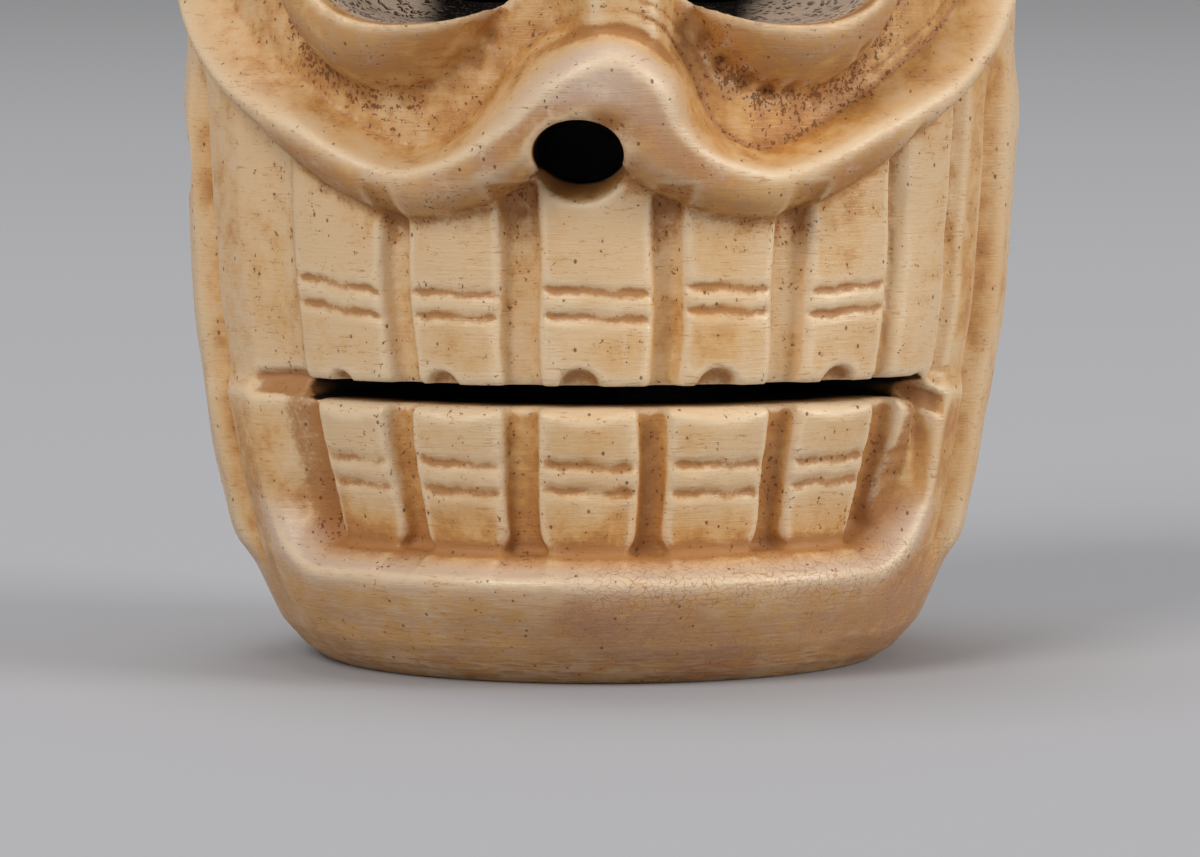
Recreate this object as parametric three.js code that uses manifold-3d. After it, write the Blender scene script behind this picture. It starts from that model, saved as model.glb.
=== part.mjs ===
// A small skull carved from one length of hollow long bone, standing on the rim of its open base.
// Millimetres, +Z up, the face towards -Y, the origin under the middle of the base.
import * as THREE from "three";
import { mergeVertices } from "three/addons/utils/BufferGeometryUtils.js";
import Module from "manifold-3d";

const wasm = await Module();
wasm.setup();

// Driving dimensions
const height = 42; // base to crown
const width = 29.8; // across the temples
const frontDepth = 14.1; // axis of the bone to the tooth faces
const backDepth = 15.6; // axis of the bone to the back of the head
const wall = 3.9; // bone left between the outside and the marrow cavity
const roofThickness = 6; // solid bone over the cavity
const mouthGap = 0.76; // height of the sawn mouth slit
const noseHoleDiameter = 2.9;
const cordHoleWidth = 3.4;
const cordHoleHeight = 3;
const kerfHoleDiameter = 0.9; // the drilled ends of the mouth slit

// The carving is laid out in parts, forty-two to the height, and in degrees round the bone from the front.
const part = height / 42;
const arcPerDegree = 0.25 * part; // length round the bone of one degree, at the tooth faces
const domeStart = 29 * part;
const mouthLine = 10.12 * part; // middle of the slit

// Height, then half width, front depth and back depth as shares of their largest
const outline = [
  [0, 0.665, 0.745, 0.66],
  [0.5, 0.712, 0.8, 0.71],
  [1.4, 0.762, 0.87, 0.76],
  [2.7, 0.803, 0.93, 0.8],
  [4.4, 0.842, 0.96, 0.83],
  [8.3, 0.892, 0.965, 0.87],
  [12.6, 0.945, 0.98, 0.92],
  [16.5, 0.965, 0.99, 0.96],
  [23.4, 0.99, 1, 0.99],
  [29, 1, 1, 1],
].map(([z, ...shares]) => [z * part, ...shares]);

// The rim that runs from the nose under the cheek, up past the temple and back along the brow:
// degrees, height and how proud it stands
const rimHalf = [
  [5.2, 20.75, 2.7],
  [9, 19.4, 2.3],
  [12.5, 18.3, 1.9],
  [17.5, 17.45, 1.55],
  [24.5, 17.0, 1.35],
  [32, 17.45, 1.3],
  [41.5, 18.6, 1.3],
  [53, 20.4, 1.2],
  [63, 22.1, 1.05],
  [71.5, 24.4, 0.9],
  [75, 27.4, 0.85],
  [70, 30.4, 1],
  [56, 32.4, 1.1],
  [39, 33.2, 1.15],
  [22, 32.8, 1.2],
  [9, 31.6, 1.25],
];
const noseCrest = [0, 21.5, 2.8];
const browMeeting = [0, 30.7, 1.5];
const rimShape = {
  inner: 0.75, innerPerProud: 0.25, outer: 0.72,
  bluntFrom: 1.3, bluntOuter: 1.15, browOuter: 0.9,
};
const browFrom = 28; // the rim widens from here up to the brow
const browTo = 31;

// Degrees the nose sits off the middle line, and the heights between which its lean grows and dies away
const noseLean = {
  hole: -0.9, top: 2.8, middle: 2, spread: 16,
  low: 17, high: 21.5, fadeFrom: 25, fadeTo: 28,
};

const eye = { angle: 26.4, level: 25.8, halfWidth: 3.9, halfHeight: 3, squareness: 2.4 };
const lid = { angle: 29.2, level: 25.7, halfWidth: 4.5, below: 5.3, above: 4.7, proud: 1.75, slope: 2.5 };
const basin = { deepest: -0.6, atLid: -0.15, slope: 2.2 };
const bridge = { offset: 0.5, proud: 1.65, flat: 0.8, foot: 2.3 };

// Tooth rows: the gaps in degrees, left to right, with the grooves that close each row
const upperGaps = [-49.5, -27.5, -9.3, 11.2, 29.3, 47.4, 60];
const lowerGaps = [-49, -29.4, -10.1, 9.8, 30.1, 49.7, 59];
const lowerSpread = 0.16; // how much farther round the bone the lower gaps lie at the base than at the mouth
const upperTeeth = {
  gapWidth: 1.25, gapDepth: 0.6,
  scores: [12.85, 13.7], scoreDepth: 0.22, scoreWidth: 0.2,
};
const lowerTeeth = { gapWidth: 1.3, gapDepth: 0.6, scores: [6.85, 7.75], scoreDepth: 0.2, scoreWidth: 0.24 };
const grooveSoftness = 0.15; // half the width of each groove's sloping side
const notchSoftness = { inside: 0.1, outside: 0.05 };
const rowMargin = 0.5; // how far the row of upper teeth goes on past its end grooves
const toothTop = 17.5; // the teeth end here, under the rim, and go on only beside it
const besideRim = 50; // degrees
const kerfEnds = [-48.5, 55.5]; // degrees
const noseHole = { angle: -0.9, level: 18.45 };
const cordHole = { angles: [-86, 92], level: 18.3 };
const notch = { radius: 0.68, depth: 0.3, offset: -0.25 };
const lowerNotch = { radius: 1.7, rise: 1.35, depth: 0.3 };

// The U of the jaw round the lower teeth
const jaw = {
  left: -61, right: 63, bottom: 3.8, corner: 3.2,
  leftSlope: 2.3, rightSlope: 1.4, bottomSlope: 0.85,
};
const jawLip = { proud: 0.35, width: 1.5 };
const lowerInset = { foot: 1.25, edge: 0.2 };

const cheekGroove = { angle: 73, depth: 0.55, width: 0.55, low: 3, lowFade: 2, high: 22, highFade: 3 };
const backBulge = { proud: 0.35, start: 75, end: 105, rise: 3, flat: 8 };
const jawAngle = { angle: 90, level: 7, proud: 0.5, halfWidth: 3.5, halfHeight: 3.6 };

// The marrow cavity
const shoulderDrop = 5; // how far under its top it starts to close
const cavityLevels = [0.8, 4, 12, 20, 27];

const clamp = THREE.MathUtils.clamp;
const degree = Math.PI / 180;
const rise = (from, to, x) => THREE.MathUtils.smoothstep(x, from, to);
const bell = (x, spread) => Math.exp(-((x / spread) ** 2));
const softMax = (a, b, blend) => Math.max(a, b) + Math.max(blend - Math.abs(a - b), 0) ** 2 / (4 * blend);

const evenly = (from, to, count) =>
  Array.from({ length: count }, (_, k) => from + ((to - from) * (k + 1)) / count);
const isEndGap = (i) => i === 0 || i === upperGaps.length - 1;

// Uniform Catmull-Rom through rows of numbers, at a place counted in rows
function alongRows(rows, place) {
  const i = clamp(Math.floor(place), 0, rows.length - 2);
  const t = place - i;
  const at = (k) => rows[clamp(k, 0, rows.length - 1)];
  return rows[0].map((_, n) => {
    const [a, b, c, d] = [at(i - 1)[n], at(i)[n], at(i + 1)[n], at(i + 2)[n]];
    return b + 0.5 * t * (c - a + t * (2 * a - 5 * b + 4 * c - d + t * (3 * (b - c) + d - a)));
  });
}

function outlineAt(z) {
  const heights = outline.map((row) => row[0]);
  const i = clamp(heights.findIndex((h) => h > z) - 1, 0, outline.length - 2);
  const next = z >= heights.at(-1) ? outline.length - 2 : i;
  const t = clamp((z - heights[next]) / (heights[next + 1] - heights[next]), 0, 1);
  return alongRows(outline, next + t);
}

// The uncarved bone: a point at an angle and level, taken in by an inset
function bonePoint(angle, level, inset = 0) {
  const up = Math.max(level - domeStart, 0) / (height - domeStart);
  const turn = (up * Math.PI) / 2;
  const [, sides, front, back] = outlineAt(Math.min(level, domeStart));
  const close = (power) => Math.cos(turn) ** power;
  const across = (width / 2) * sides * close(0.85);
  const deep = Math.cos(angle * degree) > 0 ? frontDepth * front * close(0.75) : backDepth * back * close(0.8);
  const z = level < domeStart ? level : domeStart + (height - domeStart) * Math.sin(turn);
  const radius = Math.hypot(across * Math.sin(angle * degree), deep * Math.cos(angle * degree));
  const scale = 1 - inset / Math.max(radius, inset);
  return new THREE.Vector3(
    across * Math.sin(angle * degree) * scale,
    -deep * Math.cos(angle * degree) * scale,
    z,
  );
}

function boneNormal(angle, level) {
  const step = 0.05 * part;
  const round = bonePoint(angle + 0.5, level).sub(bonePoint(angle - 0.5, level));
  const above = bonePoint(angle, Math.min(level + step, height - step));
  const up = above.sub(bonePoint(angle, Math.max(level - step, 0)));
  up.z = Math.max(up.z, 1e-6);
  return round.cross(up).normalize();
}

// The rim as a closed loop of short steps: arc, height, proud
const rimLoop = (() => {
  const mirrored = rimHalf.map(([angle, ...rest]) => [-angle, ...rest]);
  const around = [noseCrest, ...rimHalf, browMeeting, ...mirrored.reverse()];
  const corners = [around.at(-1), ...around, around[0], around[1]];
  const stepsPerCorner = 6;
  const loop = [];
  for (let i = 0; i < around.length * stepsPerCorner; i++) {
    const [angle, level, proud] = alongRows(corners, 1 + i / stepsPerCorner);
    loop.push({ s: angle * arcPerDegree, z: level * part, proud: proud * part });
  }
  return loop;
})();

function nearestRim(s, z) {
  let found = { distance: Infinity, proud: 0, inside: false };
  rimLoop.forEach((a, i) => {
    const b = rimLoop[(i + 1) % rimLoop.length];
    const [ds, dz] = [b.s - a.s, b.z - a.z];
    const t = clamp(((s - a.s) * ds + (z - a.z) * dz) / (ds * ds + dz * dz), 0, 1);
    const distance = Math.hypot(s - a.s - t * ds, z - a.z - t * dz);
    if (distance < found.distance) found = { ...found, distance, proud: a.proud + t * (b.proud - a.proud) };
    if (a.z > z !== b.z > z && s < a.s + ((z - a.z) / dz) * ds) found.inside = !found.inside;
  });
  return found;
}

// How far a place is inside a superellipse of the face, 0 at its edge
function insideOval(s, z, oval, upHalf, downHalf, squareness = 2) {
  const ds = Math.abs(Math.abs(s) - oval.angle * arcPerDegree) / (oval.halfWidth * part);
  const dz = Math.abs(z - oval.level * part) / ((z > oval.level * part ? upHalf : downHalf) * part);
  const radius = (ds ** squareness + dz ** squareness) ** (1 / squareness);
  return (1 - radius) * oval.halfWidth * part;
}

// The goggle of each eye inside the rim: basin, bridge and lid
function eyeRegion(s, z, rim) {
  const innerWidth = (rimShape.inner + rimShape.innerPerProud * rim.proud / part) * part;
  const towardsLid = rise(0, basin.slope * part, rim.distance - innerWidth);
  const floor = THREE.MathUtils.lerp(basin.deepest, basin.atLid, towardsLid) * part;
  const rimSide = floor + (rim.proud - floor) * (1 - rise(0, innerWidth, rim.distance));
  const fromBridge = Math.abs(s - bridge.offset * part);
  const bridgeShare = 1 - rise(bridge.flat * part, bridge.foot * part, fromBridge);
  const bridgeTop = floor + (bridge.proud * part - floor) * bridgeShare;
  const inLid = clamp(insideOval(s, z, lid, lid.above, lid.below) / (lid.slope * part), 0, 1);
  const lidTop = floor + (lid.proud * part - floor) * (1 - (1 - inLid) ** 2.4);
  return softMax(softMax(rimSide, bridgeTop, 0.35 * part), lidTop, 0.2 * part);
}

function gapsAt(z) {
  const up = rise(mouthLine - mouthGap / 2, mouthLine + mouthGap / 2, z);
  const spread = 1 + lowerSpread * (1 - clamp(z / mouthLine, 0, 1));
  return lowerGaps.map((angle, i) => THREE.MathUtils.lerp(angle * spread, upperGaps[i], up));
}

// One row of teeth: gaps between them, scores across them, a notch in each biting edge
function toothRow(s, z, row, isUpper) {
  const gaps = gapsAt(z).map((angle) => angle * arcPerDegree);
  const inGap = Math.max(
    ...gaps.map((gap, i) => {
      const half = (row.gapWidth * part * (isEndGap(i) ? 0.5 : 1)) / 2;
      return 1 - rise(half - grooveSoftness * part, half + grooveSoftness * part, Math.abs(s - gap));
    }),
  );
  const scored = Math.max(...row.scores.map((level) => bell(z - level * part, row.scoreWidth * part)));
  const notched = Math.max(
    ...gaps.slice(1).map((gap, i) => {
      const middle = (gap + gaps[i]) / 2;
      const edge = mouthLine + ((isUpper ? 1 : -1) * mouthGap) / 2;
      const [across, up] = isUpper
        ? [s - middle - notch.offset * part, z - edge]
        : [s - middle, z - edge - lowerNotch.rise * part];
      const radius = (isUpper ? notch.radius : lowerNotch.radius) * part;
      const { inside, outside } = notchSoftness;
      return 1 - rise(radius - inside * part, radius + outside * part, Math.hypot(across, up));
    }),
  );
  const notchDepth = (isUpper ? notch.depth : lowerNotch.depth) * part;
  const face = -row.scoreDepth * part * scored - notchDepth * notched;
  return THREE.MathUtils.lerp(face, -row.gapDepth * part, inGap);
}

// How deep a place is in the opening of the jaw: 0 on its lip, 1 at the foot of its slope
function inJaw(s, z) {
  const across = Math.min(s - jaw.left * arcPerDegree, jaw.right * arcPerDegree - s);
  const sideSlope = s < 0 ? jaw.leftSlope : jaw.rightSlope;
  const corner = jaw.corner * part;
  const [short, low] = [Math.max(corner - across, 0), Math.max(corner - (z - jaw.bottom * part), 0)];
  const sideShare = short / Math.max(short + low, 1e-6);
  const slope = THREE.MathUtils.lerp(jaw.bottomSlope, sideSlope, sideShare) * part;
  return (corner - Math.hypot(short, low)) / slope;
}

function lowerFace(s, z) {
  const depthShare = rise(jaw.bottom * part, mouthLine, z);
  const inset = THREE.MathUtils.lerp(lowerInset.foot, lowerInset.edge, depthShare) * part;
  const open = inJaw(s, z);
  const teeth = toothRow(s, z, lowerTeeth, false) - inset;
  const lip = jawLip.proud * part * bell(Math.min(open, 0) * part, jawLip.width * part);
  const foot = rise(0, 1, open);
  return THREE.MathUtils.lerp(lip, teeth, foot);
}

function upperFace(s, z) {
  const first = upperGaps[0] * arcPerDegree;
  const last = upperGaps.at(-1) * arcPerDegree;
  const inRow = s > first - rowMargin * part && s < last + rowMargin * part;
  return inRow ? toothRow(s, z, upperTeeth, true) : 0;
}

function leanAt(angle, z) {
  const { hole, top, middle, spread, low, high, fadeFrom, fadeTo } = noseLean;
  const lean = THREE.MathUtils.lerp(hole, top, rise(low * part, high * part, z));
  return lean * bell(angle - middle, spread) * (1 - rise(fadeFrom * part, fadeTo * part, z));
}

// Depth and height of the carving on the bone, away from it along its normal
function relief(angle, z) {
  const s = (angle - leanAt(angle, z)) * arcPerDegree;
  const plainS = angle * arcPerDegree;
  const rim = nearestRim(s, z);
  if (rim.inside) return eyeRegion(s, z, rim);

  const up = rise(mouthLine - mouthGap / 2, mouthLine + mouthGap / 2, z);
  const hasTeeth = z <= browFrom * part && (z < toothTop * part || Math.abs(angle) > besideRim);
  let depth = hasTeeth ? THREE.MathUtils.lerp(lowerFace(plainS, z), upperFace(plainS, z), up) : 0;

  const sideways = Math.abs(angle);
  const fade = rise(cheekGroove.low * part, (cheekGroove.low + cheekGroove.lowFade) * part, z)
    * (1 - rise((cheekGroove.high - cheekGroove.highFade) * part, cheekGroove.high * part, z));
  const fromGroove = (sideways - cheekGroove.angle) * arcPerDegree;
  depth += backBulge.proud * part * fade
    * rise(backBulge.start - backBulge.rise, backBulge.start + backBulge.rise, sideways)
    * (1 - rise(backBulge.start + backBulge.flat, backBulge.end, sideways));
  depth -= cheekGroove.depth * part * fade * bell(fromGroove, cheekGroove.width * part);
  depth += jawAngle.proud * part
    * bell((sideways - jawAngle.angle) * arcPerDegree, jawAngle.halfWidth * part)
    * bell(z - jawAngle.level * part, jawAngle.halfHeight * part);

  const bluntness = clamp(rim.proud / part - rimShape.bluntFrom, 0, 1);
  const overEye = rise(browFrom * part, browTo * part, z);
  const outerWidth = (rimShape.outer + rimShape.bluntOuter * bluntness + rimShape.browOuter * overEye) * part;
  const share = clamp(rim.distance / outerWidth, 0, 1);
  const rimTop = rim.proud * (1 - share ** (2.4 + 4 * bluntness)) ** 0.75;
  return share < 1 ? softMax(depth, depth + (rim.proud - depth) * (rimTop / rim.proud), 0.1 * part) : depth;
}

// Carving goes in and out level near the base, so that the rim under it stays flat; the crown is plain
const levelFoot = 2 * part;
const crownFrom = height - 3 * part;
const crownTo = height - part;
function carvedPoint(angle, level) {
  const bone = bonePoint(angle, level);
  const outward = boneNormal(angle, level);
  outward.z *= rise(0, levelFoot, bone.z);
  const crown = 1 - rise(crownFrom, crownTo, bone.z);
  return bone.addScaledVector(outward, relief(angle, bone.z) * crown);
}

// Columns of the blank, in degrees: close together at each gap between teeth, wide apart round the back
const fullTurn = 360;
const backColumns = 14;
const gapHalf = (upperTeeth.gapWidth * part) / 2 / arcPerDegree;
const shoulderHalf = (grooveSoftness * part) / arcPerDegree;
function columnAngles(z) {
  const gaps = gapsAt(z);
  const columns = [];
  gaps.forEach((gap, i) => {
    const half = isEndGap(i) ? gapHalf / 2 : gapHalf;
    const edges = [-half - shoulderHalf, -half + shoulderHalf, half - shoulderHalf, half + shoulderHalf];
    columns.push(...edges.map((edge) => gap + edge));
    if (i === gaps.length - 1) return;
    const nextHalf = isEndGap(i + 1) ? gapHalf / 2 : gapHalf;
    const isMiddleTooth = i === 2;
    const nextShoulder = gaps[i + 1] - nextHalf - shoulderHalf;
    columns.push(...evenly(columns.at(-1), nextShoulder, isMiddleTooth ? 6 : 4).slice(0, -1));
  });
  const groove = [-1.5, 0.5, 3, 7].map((offset) => cheekGroove.angle + offset);
  const leftCheek = evenly(-groove[0], columns[0], 6).slice(0, -1);
  const rightCheek = evenly(columns.at(-1), groove[0], 3);
  const back = evenly(groove[3], fullTurn - groove[3], backColumns).slice(0, -1);
  const leftGroove = groove.map((angle) => -angle).reverse();
  return [...leftGroove, ...leftCheek, ...columns, ...rightCheek, ...groove.slice(1), ...back];
}

// Rows of the blank, in parts
const rimRow = 17; // the rows that lie on the crest of the rim, under the eyes and over them
const browRow = 32;
const footRow = rimRow - 0.85;
const noseRow = 20;
const plainAbove = 35; // rows above this and under the jaw opening need only half of the front columns
const frontHalf = 85; // degrees
const acrossScores = ({ scores, scoreWidth }) =>
  scores.flatMap((z) => [z - 1.1 * scoreWidth, z, z + 1.1 * scoreWidth]);
const rowLevels = [
  0, 0.5, 1.4, ...evenly(1.4, jaw.bottom, 2), ...evenly(jaw.bottom, 4.7, 2), 5.7, ...acrossScores(lowerTeeth), 8.9,
  mouthLine / part - mouthGap / 2, mouthLine / part + mouthGap / 2, 11.6, ...acrossScores(upperTeeth), 15,
  footRow, ...evenly(footRow, rimRow, 3), ...evenly(rimRow, 18.4, 3), ...evenly(18.4, 20, 2), ...evenly(20, 23, 4),
  ...evenly(23, 29.5, 5), ...evenly(29.5, browRow, 4), ...evenly(browRow, 33.1, 3), ...evenly(33.1, 35.8, 3),
  ...evenly(35.8, 41.2, 4),
];

// Height of a line of stations at an angle, in parts
function heightAlong(stations, angle) {
  const at = stations.findIndex(([a]) => a > angle);
  if (at < 0) return stations.at(-1)[1];
  const t = (angle - stations[at - 1][0]) / (stations[at][0] - stations[at - 1][0]);
  return THREE.MathUtils.lerp(stations[at - 1][1], stations[at][1], t);
}

// Rows bend to run along the rim; round the back they are level. Heights in parts, angles in degrees.
const bend = {
  from: 14.2, to: 36.5, browOuter: 1.6,
  noseDrop: 1.1, noseSpread: 9, fadeFrom: 76, levelFrom: 105,
};
const templeRows = { angle: 75, low: 25.9, high: 28.9 }; // the two rows part round the temple
const temple = rimHalf.reduce((farthest, station, i) => (station[0] > rimHalf[farthest][0] ? i : farthest), 0);
const underEyes = [noseCrest, ...rimHalf.slice(0, temple), [templeRows.angle, templeRows.low]];
const overEyes = [browMeeting, ...rimHalf.slice(temple + 1).reverse(), [templeRows.angle, templeRows.high]];
function bentLevel(level, angle) {
  const sideways = Math.min(Math.abs(angle), fullTurn - angle);
  const fromFront = angle > fullTurn / 2 ? angle - fullTurn : angle;
  const unleaned = Math.abs(fromFront - leanAt(angle, noseRow * part));
  const fade = rise(bend.fadeFrom, bend.levelFrom, sideways);
  const low = THREE.MathUtils.lerp(heightAlong(underEyes, unleaned), rimRow, fade);
  const high = THREE.MathUtils.lerp(heightAlong(overEyes, sideways), browRow, fade);
  const noseDrop = bend.noseDrop * bell(unleaned, bend.noseSpread);
  const stops = [
    [bend.from, bend.from], [footRow, low - rimRow + footRow - noseDrop], [rimRow, low], [browRow, high],
    [browRow + bend.browOuter, high + bend.browOuter], [bend.to, bend.to], [height / part, height / part],
  ];
  if (level <= stops[0][0]) return level * part;
  const at = stops.findIndex(([from]) => from >= level);
  const t = (level - stops[at - 1][0]) / (stops[at][0] - stops[at - 1][0]);
  return THREE.MathUtils.lerp(stops[at - 1][1], stops[at][1], t) * part;
}

const toSolid = (geometry) => {
  geometry.deleteAttribute("normal");
  geometry.deleteAttribute("uv");
  const merged = mergeVertices(geometry, 1e-4);
  const corners = merged.index.array;
  const kept = [];
  for (let i = 0; i < corners.length; i += 3) {
    const [a, b, c] = corners.slice(i, i + 3);
    if (a !== b && b !== c && c !== a) kept.push(a, b, c);
  }
  return new wasm.Manifold(
    new wasm.Mesh({
      numProp: 3,
      vertProperties: merged.attributes.position.array,
      triVerts: new Uint32Array(kept),
    }),
  );
};

// A cylinder standing on Z whose every vertex is put in place by its column, row and whether it is a cap's middle
function shapedBlank(columns, rows, place) {
  const blank = new THREE.CylinderGeometry(1, 1, 1, columns, rows);
  blank.deleteAttribute("normal");
  blank.deleteAttribute("uv");
  const merged = mergeVertices(blank, 1e-5);
  const spots = merged.attributes.position;
  for (let i = 0; i < spots.count; i++) {
    const [x, y, z] = [spots.getX(i), spots.getY(i), spots.getZ(i)];
    const turn = Math.atan2(x, z) / (2 * Math.PI);
    const column = Math.round((turn < 0 ? turn + 1 : turn) * columns) % columns;
    const row = Math.round((y + 0.5) * rows);
    const point = place(column, row, Math.hypot(x, z) < 0.5);
    spots.setXYZ(i, point.x, point.y, point.z);
  }
  return toSolid(merged);
}

function carvedOutside() {
  const rows = rowLevels.length - 1;
  const columns = columnAngles(0).length;
  return shapedBlank(columns, rows, (column, row, isMiddle) => {
    if (isMiddle) return new THREE.Vector3(0, 0, row === 0 ? 0 : bonePoint(0, height).z);
    const level = rowLevels[row];
    const angles = columnAngles(level * part);
    const isPlain = rowLevels[row + 1] <= jaw.bottom || level > plainAbove;
    const isFront = angles[column] < frontHalf;
    const angle = angles[isPlain && isFront ? column - (column % 2) : column];
    return carvedPoint(angle, bentLevel(level, angle));
  });
}

// The marrow cavity: the bone's own outline taken in by the wall, open below and round at the top
function marrowCavity() {
  const columns = 26;
  const domeRows = 3;
  const top = height - roofThickness;
  const shoulder = top - shoulderDrop * part;
  const levels = [-1, ...cavityLevels.map((level) => level * part), shoulder];
  return shapedBlank(columns, levels.length - 1 + domeRows, (column, row, isMiddle) => {
    if (isMiddle) return new THREE.Vector3(0, 0, row === 0 ? -1 : top);
    const angle = (fullTurn * column) / columns;
    const level = levels[Math.min(row, levels.length - 1)];
    const edge = bonePoint(angle, Math.max(level, 0), wall);
    edge.z = level;
    const turn = ((row - levels.length + 1) / (domeRows + 0.4)) * (Math.PI / 2);
    if (turn <= 0) return edge;
    const domeHeight = shoulder + (top - shoulder) * Math.sin(turn);
    return new THREE.Vector3(edge.x * Math.cos(turn), edge.y * Math.cos(turn), domeHeight);
  });
}

// Turns a cutter made along -Y to point out of the bone at an angle and level
function faceOut(geometry, angle, level) {
  return geometry
    .rotateZ(angle * degree)
    .translate(...bonePoint(angle, level).toArray());
}

function roundHole(angle, level, across, up) {
  const hole = new THREE.CylinderGeometry(across / 2, across / 2, wall * 4, 20).scale(1, 1, up / across);
  return toSolid(faceOut(hole, angle, level));
}

// An eye socket: a bowl that narrows and leans towards the nose until it meets the cavity
function eyeSocket(side) {
  const columns = 20;
  const rings = [
    { out: 4 * part, size: 1.05, lean: 0 },
    { out: 0.9 * part, size: 1, lean: 0 },
    { out: -1.2 * part, size: 0.97, lean: 0.2 * part },
    { out: -(wall - 0.9 * part), size: 0.82, lean: 0.8 * part },
    { out: -(wall + 2 * part), size: 0.73, lean: 1.3 * part },
  ];
  const middle = bonePoint(side * eye.angle, eye.level * part);
  const outward = boneNormal(side * eye.angle, eye.level * part).setZ(0).normalize();
  const across = new THREE.Vector3(-outward.y, outward.x, 0).multiplyScalar(side);
  return shapedBlank(columns, rings.length - 1, (column, row, isMiddle) => {
    const ring = rings[row];
    const turn = (2 * Math.PI * column) / columns;
    const squared = (value) => Math.sign(value) * Math.abs(value) ** (2 / eye.squareness);
    const reach = isMiddle ? 0 : ring.size * part;
    return middle.clone()
      .addScaledVector(outward, ring.out)
      .addScaledVector(across, side * (squared(Math.sin(turn)) * eye.halfWidth * reach) - ring.lean)
      .add(new THREE.Vector3(0, 0, squared(Math.cos(turn)) * eye.halfHeight * reach));
  });
}

// The sawn mouth: a flat curved slot through the front wall, drilled at both ends
function mouthSlit() {
  const [left, right] = kerfEnds.map((angle) => (angle - 90) * degree);
  const outer = frontDepth + 6 * part;
  const inner = frontDepth - wall - 4 * part;
  const plan = new THREE.Shape();
  plan.absarc(0, 0, outer, left, right, false);
  plan.absarc(0, 0, inner, right, left, true);
  const slab = new THREE.ExtrudeGeometry(plan, { depth: mouthGap, bevelEnabled: false, curveSegments: 18 });
  return toSolid(slab.translate(0, 0, mouthLine - mouthGap / 2));
}

function carvedSkull() {
  const cuts = [
    marrowCavity(),
    eyeSocket(1),
    eyeSocket(-1),
    mouthSlit(),
    ...kerfEnds.map((angle) => roundHole(angle, mouthLine, kerfHoleDiameter, kerfHoleDiameter)),
    roundHole(noseHole.angle, noseHole.level * part, noseHoleDiameter, noseHoleDiameter),
    ...cordHole.angles.map((angle) => roundHole(angle, cordHole.level * part, cordHoleWidth, cordHoleHeight)),
  ];
  return cuts.reduce((bone, cut) => bone.subtract(cut), carvedOutside());
}

function toGeometry(solid) {
  const mesh = solid.getMesh();
  const geometry = new THREE.BufferGeometry();
  geometry.setAttribute("position", new THREE.BufferAttribute(mesh.vertProperties, 3));
  geometry.setIndex(new THREE.BufferAttribute(mesh.triVerts, 1));
  return geometry;
}

// Puts the origin under the middle of the piece
function centred(geometry) {
  geometry.computeBoundingBox();
  const middle = geometry.boundingBox.getCenter(new THREE.Vector3());
  return geometry.translate(-middle.x, -middle.y, -geometry.boundingBox.min.z);
}

const bone = new THREE.MeshStandardMaterial({ color: 0xd9b98c, roughness: 0.42, metalness: 0 });
const skull = new THREE.Mesh(centred(toGeometry(carvedSkull())), bone);
skull.name = "carved_skull";

const ornament = new THREE.Group();
ornament.add(skull);

export default ornament;
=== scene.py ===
import math

import bpy
import numpy as np
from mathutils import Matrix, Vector


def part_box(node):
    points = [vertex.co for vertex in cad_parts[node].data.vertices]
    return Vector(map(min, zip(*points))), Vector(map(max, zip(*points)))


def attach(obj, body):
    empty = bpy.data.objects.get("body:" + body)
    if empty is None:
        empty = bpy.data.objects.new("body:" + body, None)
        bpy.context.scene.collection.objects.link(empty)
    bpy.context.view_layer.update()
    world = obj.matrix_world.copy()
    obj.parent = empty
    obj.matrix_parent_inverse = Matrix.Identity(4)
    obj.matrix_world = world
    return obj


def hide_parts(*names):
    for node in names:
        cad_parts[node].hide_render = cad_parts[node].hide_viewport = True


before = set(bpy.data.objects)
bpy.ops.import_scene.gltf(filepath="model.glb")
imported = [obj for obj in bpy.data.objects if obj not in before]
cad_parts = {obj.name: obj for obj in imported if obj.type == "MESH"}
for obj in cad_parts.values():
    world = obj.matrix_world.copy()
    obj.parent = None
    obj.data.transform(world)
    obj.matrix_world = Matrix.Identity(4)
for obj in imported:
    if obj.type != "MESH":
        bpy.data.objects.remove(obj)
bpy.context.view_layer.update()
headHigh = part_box("carved_skull")[1]
mm = 0.001
print("frame loaded")

shot = {
    "distance": 0.26,
    "azimuth": 1.9,
    "elevation": 4.5,
    "aimHeight": 0.00806,
    "lens": 218.4,
    "sensor": 36,
    "nearest": 0.01,
    "farthest": 20,
}


def placeCamera():
    azimuth, elevation = math.radians(shot["azimuth"]), math.radians(shot["elevation"])
    level = math.cos(elevation)
    towards = Vector((math.sin(azimuth) * level, -math.cos(azimuth) * level, math.sin(elevation)))
    aim = Vector((0, 0, shot["aimHeight"]))
    bpy.ops.object.camera_add(location=aim + towards * shot["distance"])
    camera = bpy.context.object
    camera.rotation_euler = towards.to_track_quat("Z", "Y").to_euler()
    camera.data.lens = shot["lens"]
    camera.data.sensor_width = shot["sensor"]
    camera.data.clip_start = shot["nearest"]
    camera.data.clip_end = shot["farthest"]
    bpy.context.scene.camera = camera


placeCamera()


# Small helpers that work on whole arrays


def rise(low, high, x):
    t = np.clip((x - low) / (high - low), 0, 1)
    return t * t * (3 - 2 * t)


def bell(x, spread):
    return np.exp(-((x / spread) ** 2))


def blend(a, b, share):
    return a + (b - a) * share


def softMax(a, b, width):
    return np.maximum(a, b) + np.maximum(width - np.abs(a - b), 0) ** 2 / (4 * width)


def alongRows(rows, place):
    rows = np.asarray(rows, float)
    last = len(rows) - 1
    i = np.clip(np.floor(place).astype(int), 0, last - 1)
    t = (place - i)[..., None]
    a, b, c, d = (rows[np.clip(i + k, 0, last)] for k in (-1, 0, 1, 2))
    return b + 0.5 * t * (c - a + t * (2 * a - 5 * b + 4 * c - d + t * (3 * (b - c) + d - a)))


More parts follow.
